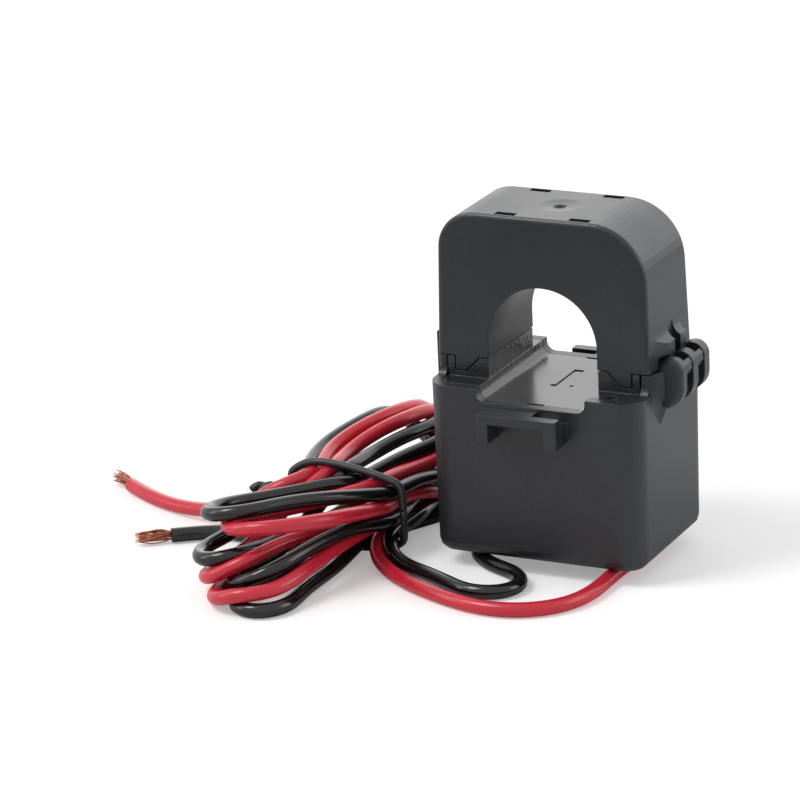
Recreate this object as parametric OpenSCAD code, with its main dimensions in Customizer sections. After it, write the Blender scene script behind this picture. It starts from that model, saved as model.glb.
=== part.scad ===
// Split-core current transformer: a deep lower housing with the secondary
// winding, a hinged upper shell that closes the magnetic circuit round a
// conductor, and two hanked secondary leads. Millimetres, +Z up, front at -Y.
// The heights below are counted from the underside of the lower housing; each
// node is then placed with the centre of the conductor window at the origin.

/* [Conductor window] */
// Width of the conductor window
window_w = 24; // [20:0.5:27]
// Height of the window, from the tray to the crown of the arch
window_h = 23.1; // [20:0.1:27]

/* [Lower housing] */
// Depth of the housing, front to rear
housing_d = 36.2; // [34:0.1:44]
// Height of the housing, underside to rim
housing_h = 36.3; // [35:0.1:46]
// Wall of the housing at its rim
rim_wall = 2.2; // [1.8:0.1:2.4]
// Thickness of the housing floor
floor_t = 2; // [1.5:0.1:2.5]
// Radius of the vertical corners
corner_r = 5; // [3.5:0.1:6]
// Radius between the walls and the underside
foot_r = 2.4; // [1:0.1:3]
// Narrowing of the housing towards its foot, in mm per mm of height
housing_draft = 0.009; // [0.004:0.001:0.02]
// Drop from the rim to the tray
tray_drop = 2.8; // [2:0.1:4]
// Radius between the tray and its side walls
tray_r = 2; // [1:0.1:2]
// Rise of the towers, from the rim to the seam
seam_rise = 4.4; // [4:0.1:6]

/* [Upper shell] */
// Width of each leg beside the window
leg_w = 11.3; // [11.2:0.1:13]
// Depth of the upper shell, front to rear
shell_d = 22.4; // [20:0.1:26]
// Height of the shell above the crown of the window
crown_h = 14.4; // [14:0.1:18]
// Wall of the upper shell
shell_wall = 1.6; // [1.4:0.1:1.8]
// Corner radius on the latch side
latch_corner_r = 8; // [6:0.5:10]
// Corner radius on the hinge side
hinge_corner_r = 12; // [8:0.5:14]
// Rounding along the front and rear edges of the shell
edge_r = 0.8; // [0.4:0.1:1.2]
// Narrowing of the shell towards its crown, in mm per mm of height
shell_draft = 0.016; // [0.008:0.001:0.02]
// Gap in the seam between the shell and the towers
seam_gap = 0.25; // [0.15:0.05:0.4]
// Depth of the interlocking tooth below the seam
tooth_h = 3; // [2:0.1:3.4]
// Width of the flat end of the tooth
tooth_w = 2.2; // [1.5:0.1:3]

/* [Hinge] */
// Distance of the hinge axis from the side wall of the housing
hinge_out = 2.7; // [2.7:0.1:3.4]
// Radius of the hinge ears
ear_r = 2.7; // [2.5:0.1:2.7]
// Radius on the front edge of the front ear
ear_round = 1.1; // [0.4:0.1:1.2]
// Thickness of each ear
ear_t = 2.6; // [2:0.1:3]
// Spacing of the three ears
ear_pitch = 6.1; // [5.6:0.1:7]
// Diameter of the axle moulded between the ears
axle_d = 2.4; // [2:0.1:2.8]
// Radial clearance of the knuckles on the axle
axle_play = 0.06; // [0.03:0.01:0.08]
// Side clearance of the knuckles between the ears
knuckle_play = 0.2; // [0.1:0.05:0.3]
// Radius over the corners of a knuckle
knuckle_r = 2.6; // [2.4:0.05:2.6]
// Rise of the hinge arms above the hinge axis
arm_rise = 7.9; // [6:0.1:9]
// Reach of the hinge arms from the side wall of the shell
arm_out = 1.7; // [1.2:0.1:1.8]

/* [Latch] */
// Width of the latch strap
strap_w = 18; // [14:0.5:19]
// Thickness of the latch strap
strap_t = 0.9; // [0.7:0.1:1.2]
// Reach of the strap below the rim
strap_drop = 8.6; // [8:0.1:12]
// Height of the strap's root above the seam
strap_rise = 4.8; // [3.5:0.1:8]
// Clearance between the strap and the housing wall
strap_gap = 0.12; // [0.1:0.02:0.2]
// Width of the catch on the housing
catch_w = 8; // [6:0.5:10]

/* [Tie brackets] */
// Width of each tie bracket
bracket_w = 17.3; // [14:0.1:20]
// Reach of each bracket from the wall
bracket_out = 6; // [5:0.1:8]
// Height of each bracket
bracket_h = 6; // [5:0.1:8]
// Height of the cross bar
bar_h = 1.9; // [1.5:0.1:2.5]
// Thickness of the cross bar
bar_t = 2.4; // [2:0.1:2.8]
// Thickness of the legs of a bracket
bracket_leg_t = 2.5; // [2:0.1:3]
// Sideways shift of each bracket from the middle of its wall
bracket_shift = 0.7; // [0:0.1:2]

/* [Magnetic circuit] */
// Length of the leaf spring above the core
spring_l = 14; // [10:0.5:16]
// Width of the leaf spring
spring_w = 10; // [6:0.5:14]
// Build-up of the wound core
core_build = 6; // [4.5:0.1:6]
// Side clearance between the core and the inside of the shell
core_side_play = 0.3; // [0.2:0.05:1]
// Air gap between the pole faces
pole_gap = 0.05; // [0.02:0.01:0.1]
// Clearance of the core in its pockets
core_play = 0.15; // [0.1:0.05:0.15]
// Height of the core's lower limb above the underside of the housing
limb_z = 14; // [13:0.1:15]
// Height of the bobbin flanges
flange_h = 23.8; // [18:0.1:23.9]
// Thickness of the bobbin's flanges and tube
bobbin_t = 1; // [0.8:0.1:1.4]

/* [Leads] */
// Outer diameter of the lead insulation
lead_d = 3.1; // [2.6:0.1:3.2]
// Diameter of the bare copper at the insulation's end
bare_d = 1.9; // [1.2:0.1:2.2]
// Length of bare copper at the free ends
bare_l = 8.8; // [6:0.1:12]

/* [Hidden] */

$fn = 64;
eps = 0.01;

plastic = "#3b3d40";
plastic_inner = "#46484b";
steel = "#8f9296";
copper = "#b5705a";
red_pvc = "#c92a3a";
black_pvc = "#1d1e20";
tape_yellow = "#d8c04a";
bobbin_white = "#d9d6cc";

// Heights
rim_z = housing_h;
tray_z = rim_z - tray_drop;
seam_z = rim_z + seam_rise;
arch_z = tray_z + window_h - window_w / 2;
top_z = tray_z + window_h + crown_h;
pole_z = seam_z - 0.1;

// Widths
shell_w = window_w + 2 * leg_w;
side_step = 0.1;
housing_w = shell_w + 2 * side_step;
cavity_x = housing_w / 2 - rim_wall;
cavity_y = housing_d / 2 - rim_wall;

// Core carrier
carrier_gap = 0.15;
tower_step = 0.1;
tower_in = window_w / 2 + tower_step;
tower_out = cavity_x - carrier_gap;
tower_y = shell_d / 2 - tower_step;
carrier_t = 1.8;
shoulder_t = 1.5;

// Upper shell
tooth_set_in = 4;
shell_top_half = shell_w / 2 - shell_draft * (top_z - seam_z);
shell_cavity_x = shell_top_half - shell_wall;
shell_cavity_y = shell_d / 2 - shell_draft * (top_z - seam_z) - shell_wall;
shell_cavity_top = top_z - 1.8;
slot_l = 4.5;
slot_t = 1.8;
slot_x = 8.1;
slot_out = 0.6;
slot_depth = 3;
hook_t = 0.9;
holder_t = 1.2;
holder_play = 0.12;

// Core
core_wall = 1.35;
core_in = window_w / 2 + core_wall + core_play;
core_out = core_in + core_build;
core_d = 2 * (shell_cavity_y - core_side_play);
limb_top = limb_z + core_build / 2;
limb_bottom = limb_z - core_build / 2;
core_bend_r = 4;

// Hinge
wall_x = housing_w / 2;
axle_x = wall_x + hinge_out;
axle_z = seam_z - 0.3;
arm_t = ear_pitch - ear_t - 2 * knuckle_play;
arm_front = -ear_pitch / 2 - arm_t / 2;
front_ear_y = -ear_pitch - ear_t / 2;
belly_r = 4.3;
belly_x = axle_x + ear_r - belly_r;
belly_z = rim_z + 0.6;

// Underside of the latch catch, below the rim
catch_low = 5.7;

// Hank of both leads, lying beside the housing
hank_left = -63.5;
hank_right = -31;
hank_front = -62;
hank_rear = 29.5;
hank_top = 14.5;
hank_w = hank_right - hank_left;
tie_y = -15;
tie_left = -58;
tie_t = 1.5;
tie_end_z = 7.5;
tie_twist_l = 8;
tie_corner_r = 6;

// Leads: they slant down through the floor and turn level just under it
stand_gap = 0.05;
lead_z = -stand_gap - lead_d / 2;
hank_bottom = lead_z - lead_d / 2;
lead_slant = 42;
lead_bend_r = 6;
lead_bore_play = 0.1;
lead_sides = 8;
lead_inside = 6.4;
exit_back = 15.9;
exit_y = cavity_y - exit_back;
sleeve_d = 4.4;
sleeve_l = 6;
red_exit_x = (core_in + core_out) / 2;
black_exit_x = -red_exit_x - 1.5;

// Point of an outlet at an angle above the level
function outlet(x, a) = [x, exit_y + lead_bend_r * sin(a), lead_z + lead_bend_r * (1 - cos(a))];
function slant() = [0, cos(lead_slant), sin(lead_slant)];
function outlet_route(x) = concat(
    [outlet(x, lead_slant) + lead_inside * slant()],
    [for (a = [lead_slant : -14 : 0]) outlet(x, a)]);

// Routes of the leads, each point at the centre of the lead
red_route = concat(outlet_route(red_exit_x), [for (p = [
    [16, -8], [15.5, -15], [15.6, -22], [14.6, -29], [11, -35], [5, -39], [-3, -39.8],
    [-10.2, -37.8], [-17, -34.9], [-23.7, -31.3], [-27.5, -27.9], [-29.2, -26.8],
    [hank_right, -26.8]])
    [p.x, p.y, lead_z]]);
black_route = concat(outlet_route(black_exit_x), [for (p = [
    [-17.6, -7], [-15, -12.8], [-10.4, -17.2], [-5.2, -20.3], [-1.4, -23.2], [0.2, -27],
    [-1.6, -30.8], [-6.5, -31.8], [-14, -29.4], [-21, -26.3], [-26.6, -23], [-29.2, -22],
    [hank_right, -22]])
    [p.x, p.y, lead_z]]);
red_tail_route = [
    [hank_left, -20, 6], [-65, -20, 6], [-68.5, -18, 4.3], [-73, -14.6, 1.8],
    [-78.5, -11.8, -0.4], [-84.5, -9.2, lead_z], [-90, -7.1, lead_z], [-97.2, -3.8, lead_z],
    [-104, 0.8, lead_z]];
black_tail_route = [
    [hank_left, -18, lead_z], [-66, -18, lead_z], [-72.4, -19.2, lead_z], [-76.8, -21.3, lead_z],
    [-80.8, -24.2, lead_z]];

// Direction in which a route ends, as seen from above
function end_bearing(route) =
    let (d = route[len(route) - 1] - route[len(route) - 2])
    atan2(d.y, d.x);

// ---------------------------------------------------------------- helpers

// Moves a node so that the centre of the window is the origin
module placed() {
    translate([0, 0, -arch_z])
        children();
}

// Rounded rectangle made of true arcs
module rounded(w, d, r) {
    square([w - 2 * r, d], center = true);
    square([w, d - 2 * r], center = true);
    for (sx = [-1, 1], sy = [-1, 1])
        translate([sx * (w / 2 - r), sy * (d / 2 - r)])
            circle(r);
}

// Box between two corners
module span(a, b) {
    translate(a)
        cube(b - a);
}

// Stands a front-view outline up and runs it from y0 to y1
module front_extrude(y0, y1) {
    translate([0, y1, 0])
        rotate([90, 0, 0])
            linear_extrude(y1 - y0)
                children();
}

// Front-view outline of the conductor channel above the tray
module channel_outline(top) {
    half = window_w / 2;
    translate([-half + tray_r, tray_z])
        square([window_w - 2 * tray_r, top - tray_z]);
    translate([-half, tray_z + tray_r])
        square([window_w, top - tray_z - tray_r]);
    for (s = [-1, 1])
        translate([s * (half - tray_r), tray_z + tray_r])
            circle(tray_r);
}

// Round-topped outline of the conductor window, grown by a margin
module arch_outline(margin, bottom) {
    r = window_w / 2 + margin;
    intersection() {
        translate([0, arch_z])
            circle(r);
        translate([-r, arch_z])
            square([2 * r, r]);
    }
    translate([-r, bottom])
        square([2 * r, arch_z - bottom]);
}

// Front-view outline with a radius on each upper corner
module crown_outline(half, top, left_r, right_r, bottom) {
    translate([-half, bottom])
        square([2 * half, top - max(left_r, right_r) - bottom]);
    translate([-half + left_r, bottom])
        square([2 * half - left_r - right_r, top - bottom]);
    translate([-half, bottom])
        square([half, top - left_r - bottom]);
    translate([-half + left_r, top - left_r])
        circle(left_r);
    translate([half - right_r, top - right_r])
        circle(right_r);
}

// One half of the seam: the tooth below the seam on a leg, grown by a margin
module tooth_outline(margin) {
    outer = shell_w / 2 - tooth_set_in;
    inner = outer - tooth_w;
    polygon([
        [outer + margin, seam_z + 1],
        [outer + margin, seam_z - tooth_h - margin],
        [inner - 0.4 * margin, seam_z - tooth_h - margin],
        [inner - tooth_h - 1.4 * margin, seam_z],
        [inner - tooth_h - 1.4 * margin, seam_z + 1]]);
}

// ------------------------------------------------------------ cord sweep

function unit(v) = v / norm(v);
function heading(p, i) = unit(p[min(i + 1, len(p) - 1)] - p[max(i - 1, 0)]);
function ring(c, t, r, n) =
    let (side = unit(cross(t, [0, 0, 1])), up = cross(side, t))
    [for (k = [0 : n - 1]) c + r * (cos(360 * k / n) * side + sin(360 * k / n) * up)];
function strip(i, n) =
    [for (k = [0 : n - 1]) [i * n + k, i * n + (k + 1) % n, (i + 1) * n + (k + 1) % n, (i + 1) * n + k]];

// Closed tube of n sides along a route
module cord_tube(route, d, n) {
    rings = [for (i = [0 : len(route) - 1]) each ring(route[i], heading(route, i), d / 2, n)];
    walls = [for (i = [0 : len(route) - 2]) each strip(i, n)];
    first = [[for (k = [n - 1 : -1 : 0]) k]];
    last = [[for (k = [0 : n - 1]) (len(route) - 1) * n + k]];
    polyhedron(points = rings, faces = concat(walls, first, last), convexity = 6);
}

// ------------------------------------------------------------ lower housing

// Outer form with drafted walls, round corners and a round foot
module housing_form() {
    foot_inset = housing_draft * (rim_z - foot_r);
    hull() {
        housing_slice(rim_z - eps, 0);
        for (a = [0 : 30 : 90])
            housing_slice(foot_r * (1 - sin(a)), foot_inset + foot_r * (1 - cos(a)));
    }
}

module housing_slice(z, inset) {
    r = corner_r - min(inset, corner_r - 1);
    for (sx = [-1, 1], sy = [-1, 1])
        translate([sx * (housing_w / 2 - inset - r), sy * (housing_d / 2 - inset - r), z])
            cylinder(r = r, h = eps, $fn = 32);
}

// Lug that carries the side wall up to the seam beside a tower
module side_lug(s) {
    x0 = cavity_x;
    x1 = shell_w / 2;
    translate([s * (x0 + x1) / 2, 0, rim_z - 1])
        linear_extrude(seam_z - seam_gap - rim_z + 1)
            rounded(x1 - x0, 2 * tower_y, 0.8);
    for (sy = [-1, 1])
        translate([0, sy * tower_y, 0])
            lug_flare(s, sy);
}

// Concave foot between a lug and the rim
module lug_flare(s, sy) {
    flare_r = 1.6;
    mid = s * (cavity_x + shell_w / 2) / 2;
    width = shell_w / 2 - cavity_x - 0.4;
    translate([mid, 0, rim_z])
        rotate([90, 0, 90])
            translate([0, 0, -width / 2])
                linear_extrude(width)
                    difference() {
                        translate([sy > 0 ? -0.5 : -flare_r, -0.5])
                            square([flare_r + 0.5, flare_r + 0.5]);
                        translate([sy * flare_r, flare_r])
                            circle(flare_r);
                    }
}

// Side-view outline of a hinge ear, with a belly and a fin that runs out on the wall
module ear_outline() {
    fin_r = 4;
    fin_x = wall_x + fin_r - 0.3;
    fin_z = belly_z - sqrt(pow(belly_r + fin_r, 2) - pow(fin_x - belly_x, 2));
    share = belly_r / (belly_r + fin_r);
    root_x = wall_x - rim_wall / 2;
    ear_x = axle_x + ear_r;
    translate([axle_x, axle_z])
        circle(ear_r);
    translate([root_x, belly_z - eps])
        square([ear_x - root_x, seam_z - seam_gap - belly_z + eps]);
    intersection() {
        translate([root_x, fin_z])
            square([ear_x - root_x, belly_z - fin_z]);
        union() {
            translate([belly_x, belly_z])
                circle(belly_r);
            difference() {
                polygon([
                    [root_x, fin_z], [fin_x, fin_z],
                    [belly_x + share * (fin_x - belly_x), belly_z + share * (fin_z - belly_z)],
                    [belly_x, belly_z], [root_x, belly_z]]);
                translate([fin_x, fin_z])
                    circle(fin_r);
            }
        }
    }
}

// Round-edged face of the front ear, within the ear's own outline
module front_ear_face() {
    intersection() {
        hull()
            for (a = [0 : 22.5 : 90]) {
                inset = ear_round * (1 - cos(a));
                y = front_ear_y + ear_round * (1 - sin(a));
                front_extrude(y, y + eps) {
                    translate([axle_x, axle_z])
                        circle(ear_r - inset);
                    translate([belly_x, belly_z])
                        circle(belly_r - inset);
                }
            }
        front_extrude(front_ear_y - eps, front_ear_y + ear_round + eps)
            ear_outline();
    }
}

// Plan of a concave blend that rises from a wall to a reach over a run
module blend_plan(reach, run) {
    root = 0.4;
    blend_r = (run * run + reach * reach) / (2 * reach);
    difference() {
        translate([-root, -run])
            square([reach + root, run + eps]);
        translate([blend_r, -run])
            circle(blend_r, $fn = 96);
    }
}

// Blend between the side wall and the front ear, running out to a point below
module front_ear_blend() {
    reach = 2.6;
    run = 5.4;
    taper_h = 6.4;
    low = rim_z - 0.8;
    y = front_ear_y + ear_round;
    translate([wall_x, y, low])
        mirror([0, 0, 1])
            linear_extrude(taper_h, scale = 0.05)
                blend_plan(reach, run);
    translate([wall_x, y, low - eps])
        linear_extrude(rim_z - low + eps)
            blend_plan(reach, run);
    intersection() {
        translate([wall_x, y, rim_z - eps])
            linear_extrude(seam_z - seam_gap - rim_z + eps)
                blend_plan(reach, run);
        span([wall_x - 1, -tower_y, rim_z - 1], [axle_x + ear_r, 0, seam_z]);
    }
}

module hinge_ears() {
    front_extrude(front_ear_y + ear_round, front_ear_y + ear_t)
        ear_outline();
    for (i = [0, 1])
        front_extrude(i * ear_pitch - ear_t / 2, i * ear_pitch + ear_t / 2)
            ear_outline();
    front_ear_face();
    front_ear_blend();
    translate([axle_x, 0, axle_z])
        rotate([90, 0, 0])
            cylinder(d = axle_d, h = 2 * ear_pitch, center = true);
}

// Bracket for a cable tie on the front wall
module tie_bracket() {
    x0 = -bracket_w / 2 - bracket_shift;
    x1 = x0 + bracket_w;
    y_wall = -housing_d / 2 + 0.8;
    y_out = -housing_d / 2 - bracket_out;
    z1 = tray_z - 0.4;
    z0 = z1 - bracket_h;
    shelf_x = x0 + 0.64 * bracket_w;
    edge = 0.6;
    depth = y_wall - y_out + edge;
    intersection() {
        translate([(x0 + x1) / 2, y_out + depth / 2, z0])
            linear_extrude(bracket_h)
                rounded(bracket_w, depth, edge);
        union() {
            span([x0, y_out, z1 - bar_h], [x1, y_out + bar_t, z1]);
            span([x0, y_out, z1 - bar_h], [shelf_x, y_wall, z1]);
            for (x = [x0, x1 - bracket_leg_t])
                span([x, y_out, z0], [x + bracket_leg_t, y_wall, z1 - bar_h + eps]);
        }
    }
}

// Catch for the latch strap; its underside follows the arc of the opening strap
module latch_catch() {
    face = -wall_x + 0.05;
    root = face + 0.75;
    nose = face - 0.5;
    low = rim_z - catch_low;
    high = rim_z - 0.8;
    front_extrude(-catch_w / 2, catch_w / 2)
        polygon([
            [root, low], [face, low], [nose, low + 2.8], [nose, high - 1.5], [face, high],
            [root, high]]);
}

// Slanting bore through the floor for a lead, with a mouth that follows its bend
module lead_bore(x) {
    bore_r = lead_d / 2 + lead_bore_play;
    translate(outlet(x, lead_slant))
        rotate([lead_slant - 90, 0, 0])
            translate([0, 0, -1])
                cylinder(r = bore_r, h = lead_inside);
    translate([x, exit_y, lead_z + lead_bend_r])
        rotate([0, 90, 0])
            rotate_extrude(angle = lead_slant)
                translate([lead_bend_r, 0])
                    circle(bore_r + lead_bore_play);
}

module lower_housing() {
    color(plastic)
        difference() {
            union() {
                housing_form();
                side_lug(-1);
                side_lug(1);
                hinge_ears();
                tie_bracket();
                rotate([0, 0, 180])
                    tie_bracket();
                latch_catch();
            }
            translate([0, 0, floor_t])
                linear_extrude(rim_z)
                    rounded(2 * cavity_x, 2 * cavity_y, corner_r - rim_wall);
            front_extrude(-housing_d, housing_d)
                channel_outline(rim_z + 1);
            lead_bore(red_exit_x);
            lead_bore(black_exit_x);
        }
}

// ------------------------------------------------------------- core carrier

// Half width and half depth of the plug that drops into the housing
plug_x = cavity_x - carrier_gap;
plug_y = cavity_y - carrier_gap;

module carrier_plate() {
    translate([0, 0, tray_z - carrier_t])
        linear_extrude(rim_z - tray_z + carrier_t)
            rounded(2 * plug_x, 2 * plug_y, corner_r - rim_wall - carrier_gap);
}

module tower(s) {
    span(
        [s > 0 ? tower_in : -tower_out, -tower_y, rim_z - 1],
        [s > 0 ? tower_out : -tower_in, tower_y, seam_z - seam_gap]);
}

// Step-shaped groove and a small pip moulded in the tray
module tray_mark() {
    mark_depth = 0.35;
    run_t = 0.6;
    end_t = 1.1;
    front = -3.6;
    rear = 7.6;
    x0 = -1.2;
    z0 = tray_z - mark_depth;
    span([x0 - 0.8, front, z0], [x0 + run_t, front + end_t, tray_z + 1]);
    span([x0, front, z0], [x0 + run_t, rear, tray_z + 1]);
    span([x0, rear - end_t, z0], [x0 + 2.2, rear, tray_z + 1]);
    translate([2.4, -2.5, z0])
        cylinder(d = 0.9, h = 1);
}

module core_carrier() {
    pocket_in = core_in - core_play;
    pocket_out = core_out + core_play;
    pocket_y = core_d / 2 + core_play;
    snap_relief = [3.8, 1.4, 2.4];
    color(plastic_inner)
        difference() {
            union() {
                carrier_plate();
                tower(-1);
                tower(1);
            }
            front_extrude(-housing_d, housing_d)
                channel_outline(top_z);
            for (s = [-1, 1]) {
                span(
                    [s > 0 ? pocket_in : -pocket_out, -pocket_y, 0],
                    [s > 0 ? pocket_out : -pocket_in, pocket_y, top_z]);
                mirror([s > 0 ? 0 : 1, 0, 0])
                    front_extrude(-housing_d, housing_d)
                        tooth_outline(seam_gap + 0.05);
                // Hollow below the shoulder in front of and behind the core
                for (sy = [-1, 1])
                    span(
                        [s > 0 ? pocket_in : -pocket_out, min(sy * (pocket_y + 1.5), sy * (plug_y - 1.5)), 0],
                        [s > 0 ? pocket_out : -pocket_in, max(sy * (pocket_y + 1.5), sy * (plug_y - 1.5)),
                            rim_z - shoulder_t]);
                // Half-round thumb notch in the shoulder
                translate([s * (tower_in + tower_out) / 2, -s * plug_y, rim_z - 0.6])
                    cylinder(r = 2.2, h = 2);
                // Relief for the snap at the end of the tray
                translate([0, s * plug_y, tray_z])
                    cube(snap_relief, center = true);
            }
            tray_mark();
        }
}

// -------------------------------------------------------------- upper shell

// Outer form with drafted sides, large upper corners and rounded edges
module shell_form() {
    top_y = shell_d / 2 - shell_draft * (top_z - seam_z);
    hull()
        for (a = [0 : 30 : 90]) {
            inset = edge_r * (1 - cos(a));
            set_back = edge_r * (1 - sin(a));
            translate([0, 0, seam_z + eps / 2])
                cube([shell_w - 2 * inset, shell_d - 2 * set_back, eps], center = true);
            shell_corner(-1, latch_corner_r, inset, top_y - set_back);
            shell_corner(1, hinge_corner_r, inset, top_y - set_back);
        }
}

module shell_corner(s, r, inset, half_y) {
    translate([s * (shell_top_half - r), 0, top_z - r])
        rotate([90, 0, 0])
            cylinder(r = r - inset, h = 2 * half_y, center = true, $fn = 48);
}

// Tooth of each leg, flush with the front and rear walls
module shell_teeth() {
    for (s = [0, 1], sy = [-1, 1])
        mirror([s, 0, 0])
            front_extrude(
                sy > 0 ? shell_cavity_y : -shell_d / 2,
                sy > 0 ? shell_d / 2 : -shell_cavity_y)
                intersection() {
                    tooth_outline(0);
                    square([shell_w, 2 * seam_z + 0.6], center = true);
                }
}

// Front-view outline of a hinge arm, hollowed down from its tip
module arm_outline() {
    x0 = shell_w / 2 - shell_wall;
    low = seam_z + 0.1;
    tip_z = axle_z + arm_rise;
    hollow_r = 2.85;
    difference() {
        translate([x0, low])
            square([shell_wall + arm_out, tip_z - low]);
        translate([shell_w / 2 + hollow_r, tip_z])
            circle(hollow_r);
    }
}

// Knuckle that hooks round the axle from below, with its mouth upwards
module knuckle_outline() {
    seat = 0.4 * axle_d;
    face = shell_w / 2 + arm_out - axle_x;
    corner_turn = 21;
    lip = 0.71 * knuckle_r;
    difference() {
        rotate(corner_turn)
            circle(r = knuckle_r, $fn = 12);
        polygon([
            [-seat, 0], [seat, 0], [lip, lip], [lip, 2 * knuckle_r], [face, 2 * knuckle_r],
            [face, lip]]);
    }
}

// Arm and knuckle, with a bore that runs on the axle
module hinge_arm(y) {
    front_extrude(y - arm_t / 2, y + arm_t / 2)
        difference() {
            union() {
                arm_outline();
                translate([axle_x, axle_z])
                    knuckle_outline();
            }
            translate([axle_x, axle_z])
                circle(axle_d / 2 + axle_play);
        }
}

// Blend between the side wall of the shell and the front arm, clear of the front ear
module arm_blend() {
    run = shell_d / 2 + arm_front;
    ear_top = axle_z + ear_r + 0.15;
    intersection() {
        front_extrude(arm_front - run, arm_front + eps)
            arm_outline();
        translate([shell_w / 2, arm_front, seam_z])
            linear_extrude(arm_rise)
                blend_plan(arm_out, run);
        union() {
            span([0, -shell_d, ear_top], [shell_w, 0, top_z]);
            span([0, -shell_d, 0], [shell_w, front_ear_y - 0.15, top_z]);
        }
    }
}

// Latch strap down the side wall, with a window for the catch and a lip to pull
module latch_strap() {
    x1 = -wall_x - strap_gap;
    x0 = x1 - strap_t;
    low = rim_z - strap_drop;
    window_low = rim_z - catch_low - 0.3;
    difference() {
        front_extrude(-strap_w / 2, strap_w / 2)
            polygon([
                [x1, low], [x1, seam_z + 0.3], [-shell_w / 2 + 1, seam_z + 0.3],
                [-shell_w / 2 + 1, seam_z + strap_rise], [-shell_w / 2, seam_z + strap_rise],
                [x0, seam_z + strap_rise - strap_t], [x0, low + 1.8], [x0 - 0.6, low + 0.9],
                [x0 - 0.6, low]]);
        span([x0 - 1, -catch_w / 2 - 0.4, window_low], [x1 + 1, catch_w / 2 + 0.4, rim_z + 0.4]);
    }
}

// Gate mark in its shallow dish
module gate_mark() {
    dish_depth = 0.3;
    dish_half = 4.4;
    pit_d = 3;
    dish_r = (dish_half * dish_half + dish_depth * dish_depth) / (2 * dish_depth);
    translate([0, 0, top_z + dish_r - dish_depth])
        sphere(r = dish_r);
    translate([0, 0, top_z - 3 * dish_depth])
        cylinder(d1 = 0.7 * pit_d, d2 = pit_d, h = 3 * dish_depth);
}

module upper_shell() {
    color(plastic)
        difference() {
            union() {
                shell_form();
                shell_teeth();
                hinge_arm(-ear_pitch / 2);
                hinge_arm(ear_pitch / 2);
                arm_blend();
                latch_strap();
            }
            front_extrude(-shell_d, shell_d)
                arch_outline(0, 0);
            front_extrude(-shell_cavity_y, shell_cavity_y)
                difference() {
                    crown_outline(shell_cavity_x, shell_cavity_top, latch_corner_r - shell_wall,
                        hinge_corner_r - shell_wall, seam_z - 1);
                    arch_outline(core_wall, 0);
                }
            for (sx = [-1, 1], sy = [-1, 1])
                translate([sx * slot_x, sy * (shell_cavity_y + slot_out - slot_t / 2), top_z])
                    cube([slot_l, slot_t, 2 * slot_depth], center = true);
            gate_mark();
        }
}

// Holder round the upper core, with four hooks that snap into the slots
module core_holder() {
    outer = shell_cavity_x - holder_play;
    top = shell_cavity_top - holder_play;
    depth = shell_cavity_y - holder_play;
    hook_rise = 0.8;
    color(plastic_inner) {
        front_extrude(-depth, depth)
            difference() {
                crown_outline(outer, top, latch_corner_r - shell_wall, hinge_corner_r - shell_wall,
                    seam_z + 0.8);
                crown_outline(outer - holder_t, top - holder_t, latch_corner_r - shell_wall - holder_t,
                    hinge_corner_r - shell_wall - holder_t, seam_z);
            }
        for (sx = [-1, 1], sy = [-1, 1])
            translate([sx * slot_x, sy * (depth - hook_t / 2), top])
                cube([slot_l - 0.4, hook_t, 2 * hook_rise], center = true);
    }
}

// ---------------------------------------------------------- magnetic circuit

module upper_core() {
    color(steel)
        front_extrude(-core_d / 2, core_d / 2)
            difference() {
                arch_outline(core_out - window_w / 2, pole_z + pole_gap / 2);
                arch_outline(core_in - window_w / 2, 0);
            }
}

module lower_core() {
    color(steel)
        front_extrude(-core_d / 2, core_d / 2)
            difference() {
                translate([0, pole_z - pole_gap / 2])
                    mirror([0, 1])
                        crown_outline(core_out, pole_z - pole_gap / 2 - limb_bottom, core_bend_r,
                            core_bend_r, 0);
                translate([-core_in, limb_top])
                    square([2 * core_in, pole_z]);
            }
}

// Bowed leaf spring that presses the upper core onto the lower one
module core_spring() {
    core_top = arch_z + core_out;
    holder_z = shell_cavity_top - holder_play - holder_t;
    rise = holder_z - core_top - 0.1;
    half = spring_l / 2;
    leaf_t = 0.4;
    r = (half * half + rise * rise) / (2 * rise);
    color(steel)
        intersection() {
            front_extrude(-spring_w / 2, spring_w / 2)
                translate([0, core_top + 0.05 + rise - r])
                    difference() {
                        circle(r);
                        circle(r - leaf_t);
                    }
            span([-half, -spring_w, core_top + 0.05], [half, spring_w, holder_z]);
        }
}

module bobbin() {
    half = core_in - 0.2;
    tube_z = core_build / 2 + core_play;
    tube_y = core_d / 2 + core_play;
    flange_y = cavity_y - 0.5;
    low = floor_t + 0.05;
    color(bobbin_white)
        difference() {
            union() {
                span([-half, -tube_y - bobbin_t, limb_z - tube_z - bobbin_t],
                    [half, tube_y + bobbin_t, limb_z + tube_z + bobbin_t]);
                for (s = [-1, 1])
                    span(
                        [s > 0 ? half - bobbin_t : -half, -flange_y, low],
                        [s > 0 ? half : -half + bobbin_t, flange_y, low + flange_h]);
            }
            span([-core_out, -tube_y, limb_z - tube_z], [core_out, tube_y, limb_z + tube_z]);
        }
}

// Winding space between the flanges
winding_x = core_in - 0.2 - bobbin_t - 0.05;
winding_y = cavity_y - 1.2;
winding_z = min(limb_z - floor_t, flange_h / 2) - 1;
winding_corner_r = 4;
tape_t = 0.25;

module racetrack(grow) {
    translate([-winding_x, 0, limb_z])
        rotate([90, 0, 90])
            linear_extrude(2 * winding_x)
                rounded(2 * (winding_y + grow), 2 * (winding_z + grow), winding_corner_r + grow);
}

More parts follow.
